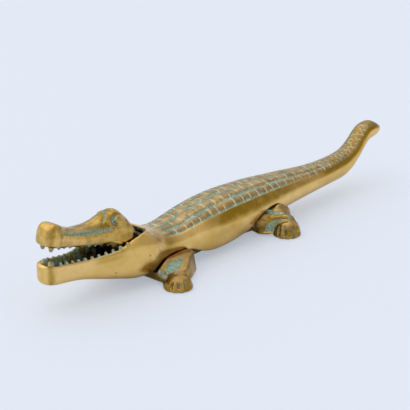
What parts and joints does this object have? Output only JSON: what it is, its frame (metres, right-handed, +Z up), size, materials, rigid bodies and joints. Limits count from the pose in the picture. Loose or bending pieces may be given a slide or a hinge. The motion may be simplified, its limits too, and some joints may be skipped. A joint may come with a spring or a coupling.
{
  "type": "crocodile nutcracker",
  "caption": "Cast brass table nutcracker shaped like a crocodile: lifting the tail off the legs opens the toothed jaws, pressing it down cracks the nut.",
  "frame": {"origin": "middle of the bounding box on the table, where the soles stand", "axes": "+X along the body from the nose to the tail tip, +Y to the crocodile's right, +Z up"},
  "size_m": [0.2088, 0.0546, 0.0373],
  "materials": {
    "body_brass": "polished cast brass with brown patina on the back and green verdigris in the grooves",
    "leg_brass": "polished cast brass with green verdigris in the webs, the eye grooves and the mouth",
    "pin_brass": "filed brass, flush with the cheeks"
  },
  "bodies": {
    "leg_lever": {"leg_casting": "leg_brass"},
    "tail_lever": {"body_casting": "body_brass", "pivot_pin": "pin_brass"}
  },
  "joints": [
    {"name": "tail_lift", "type": "hinge", "parent": "leg_lever", "child": "tail_lever", "pos_m": [-0.0535, 0, 0.0135], "axis": [0, -1, 0], "range_deg": [0, 30]}
  ]
}
